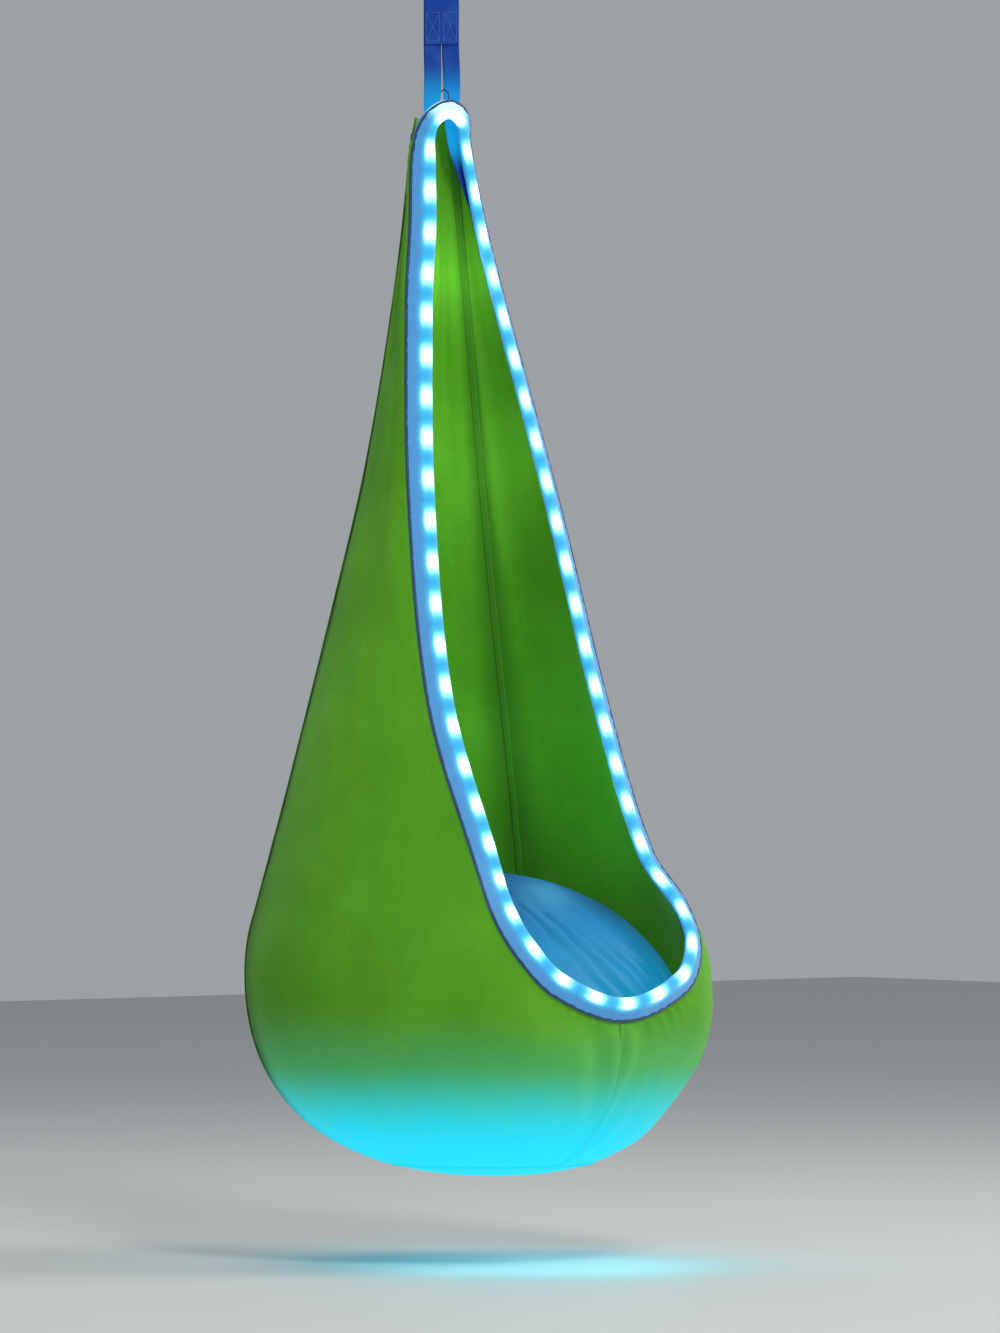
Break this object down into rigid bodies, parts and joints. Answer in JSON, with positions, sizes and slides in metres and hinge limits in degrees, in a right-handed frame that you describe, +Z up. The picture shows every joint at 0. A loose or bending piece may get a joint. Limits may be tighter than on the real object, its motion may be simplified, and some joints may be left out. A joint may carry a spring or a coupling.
{
  "type": "hanging pod swing",
  "caption": "Child's hanging pod swing: a fabric pod with a lit padded rim, an inflatable cushion and a lit base, on one strap, a ring, a carabiner and a ball-bearing swivel.",
  "frame": {"origin": "centre of the hanging eye at the top of the swivel", "axes": "+Z up, +Y along the hanging eye's bore, from the pod's opening towards its back"},
  "size_m": [0.6798, 0.6959, 2.0195],
  "materials": {
    "hardware_steel": "satin",
    "small_steel": "satin",
    "anodised_sleeve": "satin",
    "seal_rubber": "matte",
    "blue_webbing": "matte",
    "green_cloth": "matte",
    "sleeve_cloth": "matte",
    "clear_tube": "gloss",
    "board_white": "matte",
    "led": "gloss",
    "plug_plastic": "satin",
    "cushion_vinyl": "satin",
    "lamp_diffuser": "satin",
    "grey_plastic": "satin",
    "cell_jacket": "satin",
    "lead_jacket": "satin"
  },
  "bodies": {
    "housing": {"swivel_housing": "hardware_steel", "bearing_plug": "small_steel", "race_lower": "small_steel"},
    "ball_ring": {"bearing_balls": "small_steel"},
    "swivel": {"swivel_shaft_eye": "hardware_steel", "shaft_nut": "small_steel", "race_upper": "small_steel", "dust_seal": "seal_rubber"},
    "carabiner": {"carabiner_body": "hardware_steel", "gate_pin": "small_steel"},
    "gate": {"carabiner_gate": "hardware_steel", "gate_spring": "small_steel"},
    "lock": {"lock_sleeve": "anodised_sleeve"},
    "ring": {"d_ring": "hardware_steel"},
    "pod": {"hanging_strap": "blue_webbing", "edge_webbing_left": "blue_webbing", "edge_webbing_right": "blue_webbing", "left_panel": "green_cloth", "right_panel": "green_cloth", "back_panel": "green_cloth", "base_panel": "green_cloth", "light_sleeve": "sleeve_cloth", "light_tube": "clear_tube", "led_ribbon": "board_white", "led_chips": "led", "tube_joint": "plug_plastic", "lamp_shell": "grey_plastic", "lamp_lens": "lamp_diffuser", "lamp_gasket": "seal_rubber", "lamp_board": "board_white", "lamp_lights": "led", "lamp_screws": "small_steel", "battery_pocket": "green_cloth", "battery_case": "grey_plastic", "case_cover": "grey_plastic", "cover_screws": "small_steel", "cells": "cell_jacket", "cell_contacts": "small_steel", "control_board": "board_white", "button_spring": "small_steel", "lamp_lead": "lead_jacket", "rim_lead": "lead_jacket"},
    "button": {"push_button": "grey_plastic"},
    "cushion": {"cushion_skin": "cushion_vinyl", "valve_body": "cushion_vinyl"},
    "valve_cap_flap": {"valve_cap": "cushion_vinyl"}
  },
  "joints": [
    {"name": "swivel_spin", "type": "hinge", "parent": "housing", "child": "swivel", "pos_m": [0, 0, 0], "axis": [0, 0, 1], "continuous": true},
    {"name": "ball_spin", "type": "hinge", "parent": "housing", "child": "ball_ring", "pos_m": [0, 0, 0], "axis": [0, 0, 1], "continuous": true},
    {"name": "side_swing", "type": "hinge", "parent": "swivel", "child": "carabiner", "pos_m": [0, 0, -0.0718], "axis": [0.6428, 0.766, 0], "range_deg": [-40, 40]},
    {"name": "front_swing", "type": "hinge", "parent": "carabiner", "child": "ring", "pos_m": [0, 0, -0.156], "axis": [0.766, -0.6428, 0], "range_deg": [-40, 40]},
    {"name": "ring_tilt", "type": "hinge", "parent": "ring", "child": "pod", "pos_m": [0, 0, -0.195], "axis": [0.766, -0.6428, 0], "range_deg": [-25, 25]},
    {"name": "gate_swing", "type": "hinge", "parent": "carabiner", "child": "gate", "pos_m": [0.01414, 0.01685, -0.1388], "axis": [0.766, -0.6428, 0], "range_deg": [0, 25], "stiffness_Nm_per_rad": 0.12, "springref_deg": -20.05},
    {"name": "lock_slide", "type": "slide", "parent": "gate", "child": "lock", "axis": [0, 0, 1], "range_m": [0, 0.008]},
    {"name": "button_press", "type": "slide", "parent": "pod", "child": "button", "axis": [0, 0.2488, -0.9686], "range_m": [0, 0.0012], "stiffness_N_per_m": 900, "springref_m": -0.0006},
    {"name": "cushion_lift", "type": "slide", "parent": "pod", "child": "cushion", "axis": [0, 0, 1], "range_m": [0, 0.06]},
    {"name": "valve_open", "type": "hinge", "parent": "cushion", "child": "valve_cap_flap", "pos_m": [0, -0.07023, -1.54747], "axis": [-1, 0, 0], "range_deg": [0, 100]}
  ]
}
